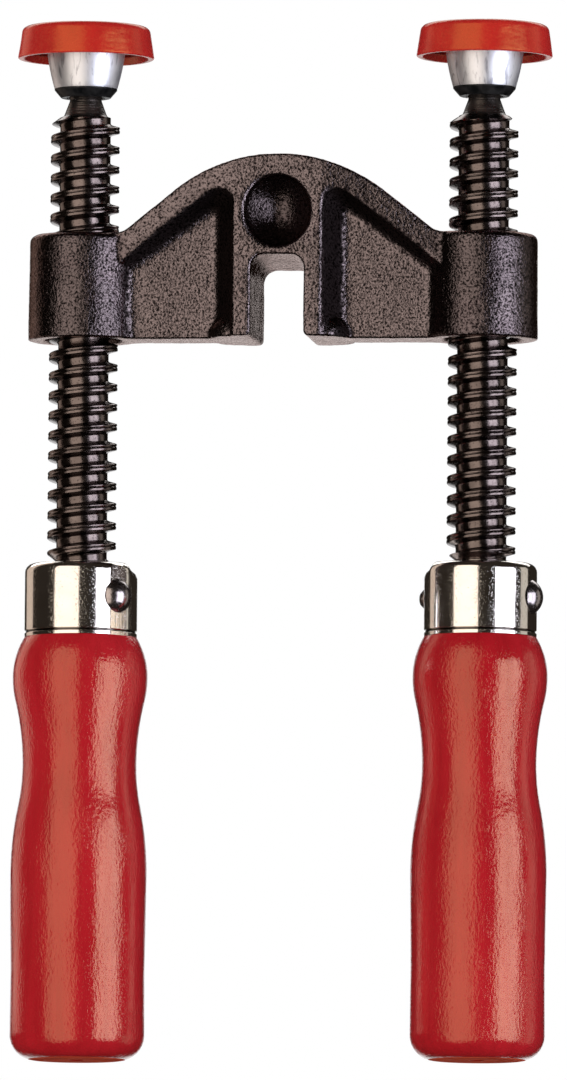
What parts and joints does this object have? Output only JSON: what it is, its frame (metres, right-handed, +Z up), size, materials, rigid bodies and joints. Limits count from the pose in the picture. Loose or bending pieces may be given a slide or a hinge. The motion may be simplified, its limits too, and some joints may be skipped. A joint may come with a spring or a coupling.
{
  "type": "edge clamp",
  "caption": "Edge clamp for a clamp bar: a cast yoke that hooks over the rail, screw spindles with swivelling capped pads, and turned wooden handles.",
  "frame": {"origin": "under the middle of the yoke, at the height of the handle ends it stands on", "axes": "+Z up along the spindles towards the pads, +X to the right spindle, front towards -Y"},
  "size_m": [0.1082, 0.0274, 0.2085],
  "materials": {
    "cast_yoke": "rough cast, burnished dark brown",
    "spindle_steel": "burnished brown-black",
    "nickel_ferrule": "nickel-plated, warm and bright",
    "rivet_steel": "polished",
    "red_wood": "deep red gloss lacquer",
    "plate_steel": "zinc-plated, satin",
    "red_plastic": "moulded, semi-gloss"
  },
  "bodies": {
    "yoke": {"yoke": "cast_yoke"},
    "pad_left": {"pressure_plate_left": "plate_steel", "pad_cap_left": "red_plastic"},
    "spindle_left": {"spindle_left": "spindle_steel", "ferrule_left": "nickel_ferrule", "handle_pin_left": "rivet_steel", "handle_left": "red_wood"},
    "pad_right": {"pressure_plate_right": "plate_steel", "pad_cap_right": "red_plastic"},
    "spindle_right": {"spindle_right": "spindle_steel", "ferrule_right": "nickel_ferrule", "handle_pin_right": "rivet_steel", "handle_right": "red_wood"}
  },
  "joints": [
    {"name": "advance_left", "type": "slide", "parent": "yoke", "child": "pad_left", "axis": [0, 0, 1], "range_m": [-0.0276, 0.0443]},
    {"name": "turn_left", "type": "hinge", "parent": "pad_left", "child": "spindle_left", "pos_m": [-0.0404, 0, 0.1], "axis": [0, 0, 1], "range_deg": [-2485, 3988]},
    {"name": "advance_right", "type": "slide", "parent": "yoke", "child": "pad_right", "axis": [0, 0, 1], "range_m": [-0.0276, 0.0443]},
    {"name": "turn_right", "type": "hinge", "parent": "pad_right", "child": "spindle_right", "pos_m": [0.0404, 0, 0.1], "axis": [0, 0, 1], "range_deg": [-2485, 3988]}
  ],
  "couplings": [
    {"joint": "turn_left", "follows": "advance_left", "rad_per_m": 1570.8},
    {"joint": "turn_right", "follows": "advance_right", "rad_per_m": 1570.8}
  ]
}
